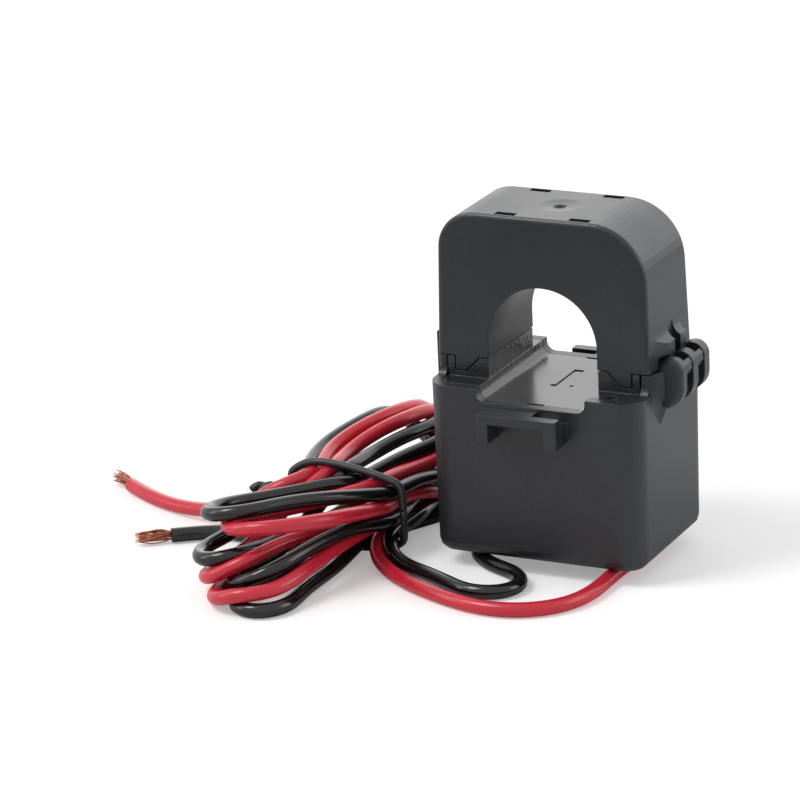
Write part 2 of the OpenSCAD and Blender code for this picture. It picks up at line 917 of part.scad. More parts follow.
module secondary_winding() {
    tube_z = core_build / 2 + core_play + bobbin_t + 0.05;
    tube_y = core_d / 2 + core_play + bobbin_t + 0.05;
    color(copper)
        difference() {
            racetrack(0);
            span([-core_out, -tube_y, limb_z - tube_z], [core_out, tube_y, limb_z + tube_z]);
        }
}

module winding_tape() {
    color(tape_yellow)
        difference() {
            racetrack(tape_t);
            scale([1.1, 1, 1])
                racetrack(0.02);
        }
}

// ------------------------------------------------------------------- leads

// Heat-shrink sleeve over the joint between the winding and a lead
module sleeve(route) {
    translate(route[0])
        rotate([lead_slant - 90, 0, 0])
            cylinder(d = sleeve_d, h = sleeve_l);
}

module red_sleeve() {
    color(black_pvc)
        sleeve(red_route);
}

module black_sleeve() {
    color(black_pvc)
        sleeve(black_route);
}

module red_lead() {
    color(red_pvc)
        cord_tube(red_route, lead_d, lead_sides);
}

module black_lead() {
    color(black_pvc)
        cord_tube(black_route, lead_d, lead_sides);
}

// Outline of the hank where the tie squeezes it
module tie_section(inset) {
    translate([(tie_left + hank_right) / 2, (hank_top + hank_bottom) / 2])
        rounded(hank_right - tie_left - 2 * inset, hank_top - hank_bottom - 2 * inset,
            tie_corner_r - inset);
}

module lead_hank() {
    length = hank_rear - hank_front;
    height = hank_top - hank_bottom;
    color(black_pvc)
        difference() {
            translate([(hank_left + hank_right) / 2, (hank_front + hank_rear) / 2, hank_bottom])
                linear_extrude(height)
                    rounded(hank_w, length, hank_w / 2 - eps);
            front_extrude(tie_y - tie_t / 2 - 0.05, tie_y + tie_t / 2 + 0.05)
                difference() {
                    translate([hank_left - tie_t, hank_bottom - tie_t])
                        square([hank_w + 2 * tie_t, height + 2 * tie_t]);
                    tie_section(tie_t + 0.05);
                }
        }
}

module red_tail() {
    color(red_pvc)
        cord_tube(red_tail_route, lead_d, lead_sides);
}

module black_tail() {
    color(black_pvc)
        cord_tube(black_tail_route, lead_d, lead_sides);
}

// Bare stranded copper that flares a little past the insulation
module strands(route) {
    translate(route[len(route) - 1])
        rotate([0, 90, end_bearing(route)])
            cylinder(d1 = bare_d, d2 = 1.5 * bare_d, h = bare_l, $fn = 24);
}

module red_strands() {
    color(copper)
        strands(red_tail_route);
}

module black_strands() {
    color(copper)
        strands(black_tail_route);
}

module twist_tie() {
    color(black_pvc) {
        front_extrude(tie_y - tie_t / 2, tie_y + tie_t / 2)
            difference() {
                tie_section(0);
                tie_section(tie_t);
            }
        translate([tie_left + 0.4, tie_y, tie_end_z])
            rotate([0, -95, 0])
                cylinder(d = tie_t, h = tie_twist_l);
    }
}

placed() lower_housing();
placed() core_carrier();
placed() upper_shell();
placed() core_holder();
placed() upper_core();
placed() lower_core();
placed() core_spring();
placed() bobbin();
placed() secondary_winding();
placed() winding_tape();
placed() red_sleeve();
placed() black_sleeve();
placed() red_lead();
placed() black_lead();
placed() lead_hank();
placed() red_tail();
placed() black_tail();
placed() red_strands();
placed() black_strands();
placed() twist_tie();
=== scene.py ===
"""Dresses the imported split-core current transformer: leads, finishes, floor, lights, camera."""

import math
import random

import bmesh
import bpy
import numpy as np
from bpy.props import FloatProperty, IntProperty, PointerProperty, StringProperty
from mathutils import Matrix, Vector


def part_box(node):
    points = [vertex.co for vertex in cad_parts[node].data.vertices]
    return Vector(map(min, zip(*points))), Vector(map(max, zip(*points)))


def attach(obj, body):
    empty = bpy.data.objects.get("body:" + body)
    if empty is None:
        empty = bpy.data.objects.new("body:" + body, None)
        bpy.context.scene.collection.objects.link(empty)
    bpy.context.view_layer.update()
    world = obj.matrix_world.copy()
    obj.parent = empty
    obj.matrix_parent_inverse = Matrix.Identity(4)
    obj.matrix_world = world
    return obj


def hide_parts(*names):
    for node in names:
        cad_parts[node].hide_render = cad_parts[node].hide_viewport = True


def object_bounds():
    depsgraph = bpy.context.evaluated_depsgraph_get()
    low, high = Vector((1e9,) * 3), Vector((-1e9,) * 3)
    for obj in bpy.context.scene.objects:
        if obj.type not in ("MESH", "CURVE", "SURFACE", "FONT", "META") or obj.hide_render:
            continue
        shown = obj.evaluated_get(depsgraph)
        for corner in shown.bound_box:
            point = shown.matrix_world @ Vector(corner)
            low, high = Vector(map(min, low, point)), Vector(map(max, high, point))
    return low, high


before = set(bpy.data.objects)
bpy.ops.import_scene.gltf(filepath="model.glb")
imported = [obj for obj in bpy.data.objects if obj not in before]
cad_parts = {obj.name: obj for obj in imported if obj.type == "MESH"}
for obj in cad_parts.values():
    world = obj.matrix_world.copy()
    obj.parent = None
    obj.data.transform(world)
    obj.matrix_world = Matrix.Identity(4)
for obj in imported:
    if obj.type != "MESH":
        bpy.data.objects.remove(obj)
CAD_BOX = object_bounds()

bl_info = {
    "name": "Split-Core Current Transformer",
    "version": (1, 0, 0),
    "blender": (4, 5, 0),
    "location": "View3D > Sidebar > Transformer",
    "description": "Leads, finishes and studio for a hinged split-core current transformer",
    "category": "Object",
}

MM = 0.001
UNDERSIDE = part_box("lower_housing")[0][2]
FLOOR = CAD_BOX[0][2]

# ---------------------------------------------------------------- routes of the leads
# Millimetres: x to the hinge, y to the rear, z from the underside of the housing.

TRAY = 33.5  # height of the tray under the window
RIM = 36  # height of the housing's rim, which the camera is aimed from
LYING = -1.6  # height of a lead's centre where it lies on the floor
TIE_Y = -15.0  # where the tie crosses the hank
HANK_FACE = -30.0  # the whole hank lies on the far side of this x

BLACK_OUT = [
    (-18, 8.77, 4.22), (-18, 4.01, -0.06), (-18, 2.05, -1.24), (-18, 0, -1.6),
    (-17.6, -7, -1.6), (-15, -12.8, -1.6), (-10.4, -17.2, -1.6), (-5.2, -20.3, -1.6),
    (-1.4, -23.2, -1.6), (0.2, -27, -1.6), (-1.6, -30.8, -1.6), (-6.5, -31.8, -1.6),
    (-14, -29.4, -1.6), (-21, -26.3, -1.6), (-27.3, -22.6, -1.4), (-31.4, -20.4, -0.4),
    (-33.4, -18.6, 1.4),
]
RED_OUT = [
    (16.5, 8.77, 4.22), (16.5, 4.01, -0.06), (16.5, 2.05, -1.24), (16.5, 0, -1.6),
    (16, -8, -1.6), (15.5, -15, -1.6), (15.6, -22, -1.6), (14.6, -29, -1.6), (11, -35, -1.6),
    (5, -39, -1.6), (-3, -39.8, -1.6), (-10.2, -37.8, -1.6), (-17, -34.9, -1.6),
    (-23.7, -31.3, -1.6), (-30, -26, -1.6), (-34.2, -20.6, -0.9),
]
BLACK_TAIL = [
    (-50.6, -19.5, -0.6), (-54.5, -22, -1.4), (-60, -21, -1.5), (-66, -18.6, -1.5),
    (-72.4, -19.2, -1.5), (-80.8, -24.2, -1.5),
]
RED_TAIL = [
    (-53.4, -20, 11.4), (-58.2, -22.2, 9), (-64.5, -20.4, 5.6), (-72.5, -14.5, 2),
    (-81.5, -10.2, -0.6), (-90, -7.1, -1.5), (-97.2, -3.8, -1.5), (-104, 0.8, -1.5),
]

# Where each run of a lead passes through the tie: x and z
RUNS = {
    "black_in": (-33.4, 1.6), "black_a": (-44.6, 13.1), "black_b": (-33.6, 4.6),
    "black_c": (-53.9, 11.2), "black_d": (-43.2, 6.4), "black_e": (-41.4, 12.2),
    "black_f": (-33.6, 10.4), "black_g": (-42.7, 0.0), "black_h": (-39.6, 0.0),
    "black_out": (-49.0, 0.2),
    "red_in": (-36.4, 0.4), "red_a": (-47.8, 13.4), "red_b": (-40.2, 4.0),
    "red_c": (-37.6, 11.6), "red_d": (-34.2, 7.4), "red_e": (-45.8, 0.0), "red_f": (-37.0, 3.4),
    "red_out": (-51.0, 12.9),
}

# Folds at the two ends of the hank: the run that enters, the run that leaves, the bend
BLACK_FOLDS = [
    ("black_in", "black_a", [
        (-34.2, -6, 1.6), (-35.6, 5, 1.4), (-36.4, 16, 1.8), (-36.8, 23.5, 2.8),
        (-37.2, 27.4, 8), (-37.4, 23.4, 13), (-38.2, 15, 14.4), (-40.8, 7, 14.8),
        (-43.2, -1, 13.8), (-44.4, -8, 13.2),
    ]),
    ("black_a", "black_b", [
        (-45.6, -21, 10.4), (-46.4, -28, 6.4), (-49.6, -36, 3), (-53, -42.5, 1.6),
        (-53.8, -48, 1.6), (-50.6, -52, 2.2), (-45.8, -50.8, 3.8), (-41.8, -45, 5.6),
        (-38.4, -35.5, 7), (-34.8, -25, 6.8),
    ]),
    ("black_b", "black_c", [
        (-34, -5, 4.4), (-35, 5, 4.2), (-37.4, 14, 4.4), (-41, 22.4, 6), (-45, 26, 9.4),
        (-49, 23, 13), (-52.6, 15, 14.6), (-55.2, 6, 14), (-56.4, -4, 12.6),
    ]),
    ("black_c", "black_d", [
        (-57, -24, 8), (-59.6, -32, 5.6), (-61.8, -39.5, 4.8), (-61.8, -46, 4.4),
        (-57.4, -50.4, 4.4), (-52.4, -46, 5.4), (-48.8, -36, 6), (-44.6, -26, 6.4),
    ]),
    ("black_d", "black_e", [
        (-42, -5, 7.2), (-42.6, 5, 6.4), (-42, 13, 4.4), (-39.4, 21.5, 3.8), (-34, 25.4, 6.8),
        (-30.8, 20.5, 11.4), (-31.8, 11, 13), (-35.6, 2, 13), (-39.4, -7, 12.6),
    ]),
    ("black_e", "black_f", [
        (-49.2, -23, 11.8), (-57.4, -31, 11.6), (-61.2, -38, 12.3), (-60.8, -44, 13),
        (-56.4, -47.8, 13.8), (-48.2, -40, 14.6), (-40.4, -30.5, 13.8), (-35.4, -22, 12),
    ]),
    ("black_f", "black_g", [
        (-32.8, -6, 9.6), (-31.4, 3, 8.4), (-30.2, 12, 6), (-31, 20.4, 4), (-34, 25.4, 1.2),
        (-39.8, 24.4, -1.2), (-43.8, 16, -1.5), (-43.6, 3, -1.5), (-42.8, -6, -1.2),
    ]),
    ("black_g", "black_h", [
        (-43.8, -24, -1.5), (-46.8, -34, -1.5), (-49.4, -43, -1.5), (-50.6, -50, -1.5),
        (-49, -56, -1.5), (-44.8, -58, -1.5), (-41.4, -54, -1.5), (-40.4, -46, -1.5),
        (-40, -27, -1.5),
    ]),
    ("black_h", "black_out", [
        (-37.6, -5, -1.5), (-35, 2, -1.5), (-31.2, 8, -1.5), (-29.6, 16, -1.5),
        (-32.6, 23.6, -1.5), (-39.6, 27, -1.5), (-47, 24.4, -1.5), (-50.8, 16, -1.5),
        (-51, 5, -1.5), (-50, -6, -1.2),
    ]),
]
RED_FOLDS = [
    ("red_in", "red_a", [
        (-35.4, -5, 0.4), (-36.8, 8, 0.8), (-38.6, 18, 2.2), (-39.6, 25, 6),
        (-39.8, 26.5, 10.5), (-40, 21.5, 14.8), (-41.6, 13.5, 17), (-44.6, 6, 16.6),
        (-47.6, -1, 14.8), (-48.8, -8, 13.4),
    ]),
    ("red_a", "red_b", [
        (-54.5, -23, 8.4), (-57, -32, 2.6), (-60.4, -40, 0.4), (-61, -46.6, 0.2),
        (-57.6, -50.6, 1.6), (-51, -48, 5), (-46.8, -42, 6.8), (-43, -33.5, 6.8),
        (-41.4, -24, 5),
    ]),
    ("red_b", "red_c", [
        (-40.6, -5, 3), (-38.6, 5, 2.8), (-35.2, 14, 2.2), (-32.4, 21, 3.6), (-30.4, 22.5, 8.6),
        (-30.8, 15.5, 12.6), (-33.6, 4, 11.4), (-36.4, -6, 11.4),
    ]),
    ("red_c", "red_d", [
        (-42.4, -21, 11), (-48.4, -29, 10.4), (-55.2, -36.5, 10.2), (-57.4, -42.5, 10.8),
        (-53.6, -47.4, 11.8), (-46.4, -47.4, 12.6), (-40.4, -43.5, 12.7), (-36, -36, 12),
        (-34.4, -26, 10), (-34, -20, 8.6),
    ]),
    ("red_d", "red_e", [
        (-34, -6, 6), (-32.6, 4, 4.2), (-31.4, 12, 1.8), (-33.2, 20.4, 1.2), (-39.4, 25.4, 0.2),
        (-45.6, 23, -0.8), (-48.6, 17, -1.4), (-49, 8, -1.5), (-47, -4, -1.4),
    ]),
    ("red_e", "red_f", [
        (-47.6, -24, -1.5), (-52.4, -34, -1.5), (-56, -42.5, -1.5), (-56.4, -50, -1.5),
        (-53.4, -55.4, -1.3), (-48.6, -57.4, -0.8), (-43.2, -54.4, 0.8), (-39.6, -46, 3),
        (-38, -34, 4),
    ]),
    ("red_f", "red_out", [
        (-37.6, -5, 1.8), (-39, 6, 1), (-41.4, 17, 1.8), (-43, 25.5, 4.6), (-43.6, 28, 9.4),
        (-44, 24.6, 14), (-45.4, 16.5, 17), (-48.4, 8.5, 16.8), (-51.4, 1, 15.2),
        (-52.8, -7, 13.8),
    ]),
]


# ---------------------------------------------------------------- settings


class LeadSettings(bpy.types.PropertyGroup):
    """Sizes and colours of the leads."""

    diameter: FloatProperty(
        name="Lead diameter", description="Outer diameter of the insulation",
        default=3.1 * MM, min=2.6 * MM, max=3.2 * MM, unit="LENGTH")
    bare: FloatProperty(
        name="Bare length", description="Length of stripped strands",
        default=8.2 * MM, min=4 * MM, max=12 * MM, unit="LENGTH")
    strand: FloatProperty(
        name="Strand diameter", description="Diameter of one copper strand",
        default=0.26 * MM, min=0.15 * MM, max=0.4 * MM, unit="LENGTH")
    strands: IntProperty(
        name="Strands", description="Number of strands in each lead", default=34, min=7, max=60)
    tie: FloatProperty(
        name="Tie diameter", description="Diameter of the coated tie wire",
        default=1.7 * MM, min=1 * MM, max=2 * MM, unit="LENGTH")
    red: StringProperty(
        name="Red", description="Colour of the red insulation, as a hex value",
        default="#d4263a")
    black: StringProperty(
        name="Black", description="Colour of the black insulation, as a hex value",
        default="#0b0c0e")


class FinishSettings(bpy.types.PropertyGroup):
    """Colours and grain of the mouldings."""

    shell: StringProperty(
        name="Outer mouldings", description="Colour of the housing and shell", default="#25282c")
    insert: StringProperty(
        name="Insert", description="Colour of the core carrier and holder", default="#26282c")
    bobbin: StringProperty(
        name="Bobbin", description="Colour of the winding bobbin", default="#1a1b1d")
    grain: FloatProperty(
        name="Grain", description="Grain of the outer mouldings, as it is drawn",
        default=0.35 * MM, min=0.1 * MM, max=1 * MM, unit="LENGTH")
    speckle: FloatProperty(
        name="Speckle", description="Coarse grain of the towers, as it is drawn",
        default=0.7 * MM, min=0.2 * MM, max=2 * MM, unit="LENGTH")
    edge: FloatProperty(
        name="Edge break", description="Radius on the edges of the mouldings",
        default=0.2 * MM, min=0.05 * MM, max=0.4 * MM, unit="LENGTH")


class StudioSettings(bpy.types.PropertyGroup):
    """Camera and light of the studio."""

    azimuth: FloatProperty(
        name="Azimuth", description="Camera to the right of the front, in degrees",
        default=26.26)
    elevation: FloatProperty(
        name="Elevation", description="Camera above the horizon, in degrees", default=18.68)
    roll: FloatProperty(
        name="Roll", description="Roll of the camera, in degrees", default=-2.52)
    distance: FloatProperty(
        name="Distance", description="Camera to the object, along the view",
        default=0.9131, unit="LENGTH")
    left: FloatProperty(
        name="Left", description="How far left of the housing the camera aims",
        default=33.78 * MM, unit="LENGTH")
    below: FloatProperty(
        name="Below", description="How far below the housing's rim the camera aims",
        default=6.2 * MM, unit="LENGTH")
    lens: FloatProperty(
        name="Lens", description="Focal length, in millimetres", default=201.0)
    level: FloatProperty(
        name="Light level", description="Strength of the room light on the object", default=0.4)


# ---------------------------------------------------------------- small helpers


def in_row(points):
    """Points from millimetres above the underside of the housing to the row frame."""
    return [Vector((x * MM, y * MM, z * MM + UNDERSIDE)) for x, y, z in points]


def linear(hex_colour):
    """An sRGB hex colour as linear red, green, blue and alpha."""
    channels = [int(hex_colour[i:i + 2], 16) / 255 for i in (1, 3, 5)]
    return [c / 12.92 if c <= 0.04045 else ((c + 0.055) / 1.055) ** 2.4 for c in channels] + [1.0]


def add_node(tree, kind, output=None, inputs=None, **settings):
    """Adds a shader node with its settings, sets or links its inputs and returns one output."""
    node = tree.nodes.new("ShaderNode" + kind)
    for name, value in settings.items():
        setattr(node, name, value)
    for name, value in (inputs or {}).items():
        if isinstance(value, bpy.types.NodeSocket):
            tree.links.new(value, node.inputs[name])
        else:
            node.inputs[name].default_value = value
    return node.outputs[output] if output else None


def new_material(name):
    """An empty material with its node tree and the object's own coordinates."""
    material = bpy.data.materials.new(name)
    material.use_nodes = True
    tree = material.node_tree
    tree.nodes.clear()
    return material, tree, add_node(tree, "TexCoord", "Object")


def dress(obj, material):
    """Gives an object one material in place of what it has."""
    obj.data.materials.clear()
    obj.data.materials.append(material)


def new_piece(name, data, material):
    """Links an object that rides on the housing, and dresses it."""
    piece = bpy.data.objects.new(name, data)
    bpy.context.scene.collection.objects.link(piece)
    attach(piece, "housing")
    dress(piece, material)
    return piece


# ---------------------------------------------------------------- finishes

LUMP = 0.5  # lumps of a noise pattern are this wide where its scale is 1
BAND = 0.314  # bands of a wave pattern are this far apart where its scale is 1
CLOUD = {"From Min": 0.3, "From Max": 0.7}  # the values that cloudy noise takes
PITS = {"From Min": 0.35, "From Max": 0.65}  # a narrower range, which draws it harder


def spark_eroded_abs(name, colour, grain, edge):
    """ABS moulded in a spark-eroded tool: dull, with a fine even grain and soft broken edges.

    The eye sees a charcoal skin that is nearly black face on and pale at a grazing angle."""
    material, tree, where = new_material(name)
    # The real grain is some 0.05 mm and would not show, so grain asks for a coarser one
    pits = add_node(tree, "TexNoise", "Fac", {
        "Vector": where, "Scale": LUMP / grain, "Detail": 2.0, "Roughness": 0.6})
    # The melt leaves flow marks some 9 mm across
    flow = add_node(tree, "TexNoise", "Fac", {"Vector": where, "Scale": LUMP / (9 * MM)})
    tone = add_node(tree, "Math", "Value", {
        0: add_node(tree, "MapRange", "Result", {
            "Value": flow, **CLOUD, "To Min": 0.94, "To Max": 1.06}),
        1: add_node(tree, "MapRange", "Result", {
            "Value": pits, **PITS, "To Min": 0.9, "To Max": 1.1})}, operation="MULTIPLY")
    surface = add_node(tree, "BsdfPrincipled", "BSDF", {
        "Base Color": add_node(tree, "VectorMath", "Vector", {
            0: linear(colour)[:3], "Scale": tone}, operation="SCALE"),
        "Roughness": add_node(tree, "MapRange", "Result", {
            "Value": flow, **CLOUD, "To Min": 0.35, "To Max": 0.42}),
        "IOR": 1.54,
        "Normal": add_node(tree, "Bump", "Normal", {
            "Height": pits, "Distance": 0.02 * MM, "Strength": 0.5,
            "Normal": add_node(tree, "Bevel", "Normal", {"Radius": edge}, samples=6)})})
    add_node(tree, "OutputMaterial", inputs={"Surface": surface})
    return material


def sparked_abs_insert(name, colour, speckle, edge, rough_above):
    """ABS from a tool polished on its flats and coarsely spark-eroded on its uprights.

    The flat tray mirrors what stands round it; the upright walls glitter in coarse specks."""
    material, tree, where = new_material(name)
    # The real pits are some 0.15 mm and would not show, so speckle asks for coarser ones
    pits = add_node(tree, "TexNoise", "Fac", {
        "Vector": where, "Scale": LUMP / speckle, "Detail": 3.0, "Roughness": 0.65})
    flow = add_node(tree, "TexNoise", "Fac", {"Vector": where, "Scale": LUMP / (12 * MM)})
    facing = add_node(tree, "SeparateXYZ", "Z", {
        0: add_node(tree, "NewGeometry", "True Normal")})
    height = add_node(tree, "SeparateXYZ", "Z", {0: where})
    coarse = add_node(tree, "Math", "Value", {
        0: add_node(tree, "MapRange", "Result", {
            "Value": facing, "From Min": 0.3, "From Max": 0.5, "To Min": 1.0, "To Max": 0.0}),
        1: add_node(tree, "MapRange", "Result", {
            "Value": height, "From Min": rough_above - 1 * MM, "From Max": rough_above})},
        operation="MULTIPLY")
    surface = add_node(tree, "BsdfPrincipled", "BSDF", {
        "Base Color": add_node(tree, "VectorMath", "Vector", {
            0: linear(colour)[:3], "Scale": add_node(tree, "MapRange", "Result", {
                "Value": pits, **PITS, "To Min": 0.92, "To Max": 1.08})}, operation="SCALE"),
        "Roughness": add_node(tree, "Math", "Value", {
            0: add_node(tree, "MapRange", "Result", {
                "Value": coarse, "To Min": 0.22, "To Max": 0.2}),
            1: add_node(tree, "MapRange", "Result", {
                "Value": flow, **CLOUD, "To Min": 0.85, "To Max": 1.15})}, operation="MULTIPLY"),
        "IOR": 1.54,
        "Normal": add_node(tree, "Bump", "Normal", {
            "Height": pits, "Distance": 0.2 * MM,
            "Strength": add_node(tree, "MapRange", "Result", {
                "Value": coarse, "To Min": 0.03, "To Max": 0.9}),
            "Normal": add_node(tree, "Bevel", "Normal", {"Radius": edge}, samples=6)})})
    add_node(tree, "OutputMaterial", inputs={"Surface": surface})
    return material


def pvc_insulation(name, colour, roughness):
    """Soft PVC extruded over the strands: glossy, with slow waves along it and faint scuffs.

    The eye sees deep colour with a narrow soft highlight along each run."""
    material, tree, where = new_material(name)
    wave = add_node(tree, "TexNoise", "Fac", {
        "Vector": where, "Scale": LUMP / (4 * MM), "Detail": 1.0})
    scuff = add_node(tree, "TexNoise", "Fac", {
        "Vector": where, "Scale": LUMP / (2.5 * MM), "Detail": 1.0})
    surface = add_node(tree, "BsdfPrincipled", "BSDF", {
        "Base Color": add_node(tree, "VectorMath", "Vector", {
            0: linear(colour)[:3], "Scale": add_node(tree, "MapRange", "Result", {
                "Value": wave, **CLOUD, "To Min": 0.95, "To Max": 1.05})}, operation="SCALE"),
        "Roughness": add_node(tree, "MapRange", "Result", {
            "Value": scuff, **PITS, "To Min": roughness - 0.03, "To Max": roughness + 0.03}),
        "IOR": 1.53,
        "Normal": add_node(tree, "Bump", "Normal", {
            "Height": wave, "Distance": 0.03 * MM, "Strength": 0.15})})
    add_node(tree, "OutputMaterial", inputs={"Surface": surface})
    return material


def polyolefin_sleeving(name, colour):
    """Polyolefin sleeving shrunk on by hot air: dull, slightly rippled where it gripped.

    The eye sees a soft black skin with a broken, uneven sheen."""
    material, tree, where = new_material(name)
    ripple = add_node(tree, "TexNoise", "Fac", {"Vector": where, "Scale": LUMP / (1.2 * MM)})
    surface = add_node(tree, "BsdfPrincipled", "BSDF", {
        "Base Color": add_node(tree, "VectorMath", "Vector", {
            0: linear(colour)[:3], "Scale": add_node(tree, "MapRange", "Result", {
                "Value": ripple, **CLOUD, "To Min": 0.93, "To Max": 1.07})}, operation="SCALE"),
        "Roughness": add_node(tree, "MapRange", "Result", {
            "Value": ripple, **CLOUD, "To Min": 0.48, "To Max": 0.6}),
        "IOR": 1.5,
        "Normal": add_node(tree, "Bump", "Normal", {
            "Height": ripple, "Distance": 0.1 * MM, "Strength": 0.5})})
    add_node(tree, "OutputMaterial", inputs={"Surface": surface})
    return material


def moulded_nylon(name, colour):
    """Glass-filled nylon moulded in a plain tool: half dull, with cloudy streaks of fibre.

    The eye sees a black part that is patchier and duller than the ABS round it."""
    material, tree, where = new_material(name)
    cloud = add_node(tree, "TexNoise", "Fac", {
        "Vector": where, "Scale": LUMP / (3 * MM), "Detail": 3.0})
    surface = add_node(tree, "BsdfPrincipled", "BSDF", {
        "Base Color": add_node(tree, "VectorMath", "Vector", {
            0: linear(colour)[:3], "Scale": add_node(tree, "MapRange", "Result", {
                "Value": cloud, **CLOUD, "To Min": 0.92, "To Max": 1.08})}, operation="SCALE"),
        "Roughness": add_node(tree, "MapRange", "Result", {
            "Value": cloud, **CLOUD, "To Min": 0.4, "To Max": 0.52}),
        "IOR": 1.53})
    add_node(tree, "OutputMaterial", inputs={"Surface": surface})
    return material


def polyester_tape(name, colour):
    """Polyester film tape wound over the wire: glossy film, printed flat by the turns below.

    The eye sees a bright amber band crossed by faint ridges."""
    material, tree, where = new_material(name)
    turns = add_node(tree, "TexWave", "Fac", {
        "Vector": where, "Scale": BAND / (1.2 * MM), "Distortion": 0.4}, bands_direction="X")
    surface = add_node(tree, "BsdfPrincipled", "BSDF", {
        "Base Color": add_node(tree, "VectorMath", "Vector", {
            0: linear(colour)[:3], "Scale": add_node(tree, "MapRange", "Result", {
                "Value": turns, "To Min": 0.94, "To Max": 1.04})}, operation="SCALE"),
        "Roughness": 0.2,
        "IOR": 1.64,
        "Normal": add_node(tree, "Bump", "Normal", {
            "Height": turns, "Distance": 0.05 * MM, "Strength": 0.4})})
    add_node(tree, "OutputMaterial", inputs={"Surface": surface})
    return material


def enamelled_copper(name, colour, wire):
    """Copper wire wound in layers under polyurethane enamel.

    The eye sees fine bright turns side by side under a clear skin."""
    material, tree, where = new_material(name)
    # The real wire is 0.1 mm and would not show: the turns are drawn as coarse as wire asks
    turns = add_node(tree, "TexWave", "Fac", {
        "Vector": where, "Scale": BAND / wire, "Distortion": 0.2}, bands_direction="X")
    surface = add_node(tree, "BsdfPrincipled", "BSDF", {
        "Base Color": add_node(tree, "VectorMath", "Vector", {
            0: linear(colour)[:3], "Scale": add_node(tree, "MapRange", "Result", {
                "Value": turns, "To Min": 0.7, "To Max": 1.1})}, operation="SCALE"),
        "Metallic": 1.0,
        "Roughness": 0.3,
        "Coat Weight": 0.6,
        "Coat Roughness": 0.1,
        "Normal": add_node(tree, "Bump", "Normal", {
            "Height": turns, "Distance": 0.15 * MM, "Strength": 0.8})})
    add_node(tree, "OutputMaterial", inputs={"Surface": surface})
    return material


def drawn_copper(name, colour):
    """Bare copper drawn to fine wire and dulled in patches by handling.

    The eye sees warm bright threads with browner stretches among them."""
    material, tree, where = new_material(name)
    stain = add_node(tree, "TexNoise", "Fac", {
        "Vector": where, "Scale": LUMP / (0.8 * MM), "Detail": 3.0})
    surface = add_node(tree, "BsdfPrincipled", "BSDF", {
        "Base Color": add_node(tree, "VectorMath", "Vector", {
            0: linear(colour)[:3], "Scale": add_node(tree, "MapRange", "Result", {
                "Value": stain, **CLOUD, "To Min": 0.75, "To Max": 1.1})}, operation="SCALE"),
        "Metallic": 1.0,
        "Roughness": add_node(tree, "MapRange", "Result", {
            "Value": stain, **CLOUD, "To Min": 0.4, "To Max": 0.28})})
    add_node(tree, "OutputMaterial", inputs={"Surface": surface})
    return material


def strip_steel(name, colour, strip, roughness):
    """Cold-rolled steel strip: grey metal with straight lines from the rolls or the layers.

    The eye sees a cool dull sheen ruled with fine parallel lines."""
    material, tree, where = new_material(name)
    lines = add_node(tree, "TexWave", "Fac", {
        "Vector": where, "Scale": BAND / strip, "Distortion": 0.3, "Detail": 1.0},
        bands_direction="Z")
    cloud = add_node(tree, "TexNoise", "Fac", {"Vector": where, "Scale": LUMP / (4 * MM)})
    tone = add_node(tree, "Math", "Value", {
        0: add_node(tree, "MapRange", "Result", {
            "Value": lines, "To Min": 0.86, "To Max": 1.06}),
        1: add_node(tree, "MapRange", "Result", {
            "Value": cloud, **CLOUD, "To Min": 0.92, "To Max": 1.05})}, operation="MULTIPLY")
    surface = add_node(tree, "BsdfPrincipled", "BSDF", {
        "Base Color": add_node(tree, "VectorMath", "Vector", {
            0: linear(colour)[:3], "Scale": tone}, operation="SCALE"),
        "Metallic": 1.0,
        "Roughness": add_node(tree, "MapRange", "Result", {
            "Value": cloud, **CLOUD, "To Min": roughness - 0.05, "To Max": roughness + 0.08})})
    add_node(tree, "OutputMaterial", inputs={"Surface": surface})
    return material


def white_card_painted_shade_front(name):
    """Matt white card that lies pale under the object and is painted dark well in front of it, as
    painted shade.

    The eye sees a clean white ground, since camera rays see the card glow white, while its dark
    end is painted shade that keeps the mouldings' sides deep."""
    material, tree, where = new_material(name)
    # The card is painted dark, as painted shade, from 0.3 m in front of the window and pale from
    # 0.12 m; camera rays see it glow white all over
    along = add_node(tree, "SeparateXYZ", "Y", {0: where})
    painted_shade_fall = {"Value": along, "From Min": -0.3, "From Max": -0.12}
    # pale is the base colour: near white under the object, painted dark in front as painted shade
    pale = add_node(tree, "MapRange", "Result", {**painted_shade_fall, "To Min": 0.04, "To Max": 0.9})
    glow = add_node(tree, "MapRange", "Result", {**painted_shade_fall, "To Min": 0.95, "To Max": 0.3})
    surface = add_node(tree, "BsdfPrincipled", "BSDF", {
        "Base Color": add_node(tree, "VectorMath", "Vector", {
            0: linear("#ffffff")[:3], "Scale": pale}, operation="SCALE"),
        "Roughness": 0.9,
        "Specular IOR Level": 0.0,
        "Emission Color": linear("#ffffff"),
        "Emission Strength": add_node(tree, "Math", "Value", {
            0: add_node(tree, "LightPath", "Is Camera Ray"), 1: glow}, operation="MULTIPLY")})
    add_node(tree, "OutputMaterial", inputs={"Surface": surface})
    return material


def white_room(name, level):
    """A world that is white to look at, directly, through or mirrored, and dimmer as a light."""
    world = bpy.data.worlds.new(name)
    world.use_nodes = True
    tree = world.node_tree
    tree.nodes.clear()
    seen = add_node(tree, "LightPath", "Is Glossy Ray")
    for kind in ("Is Camera Ray", "Is Transmission Ray"):
        seen = add_node(tree, "Math", "Value", {
            0: seen, 1: add_node(tree, "LightPath", kind)}, operation="MAXIMUM")
    strength = add_node(tree, "MapRange", "Result", {
        "Value": seen, "To Min": level, "To Max": 1.0})
    add_node(tree, "OutputWorld", inputs={"Surface": add_node(
        tree, "Background", "Background", {"Color": linear("#ffffff"), "Strength": strength})})
    return world


# ---------------------------------------------------------------- leads


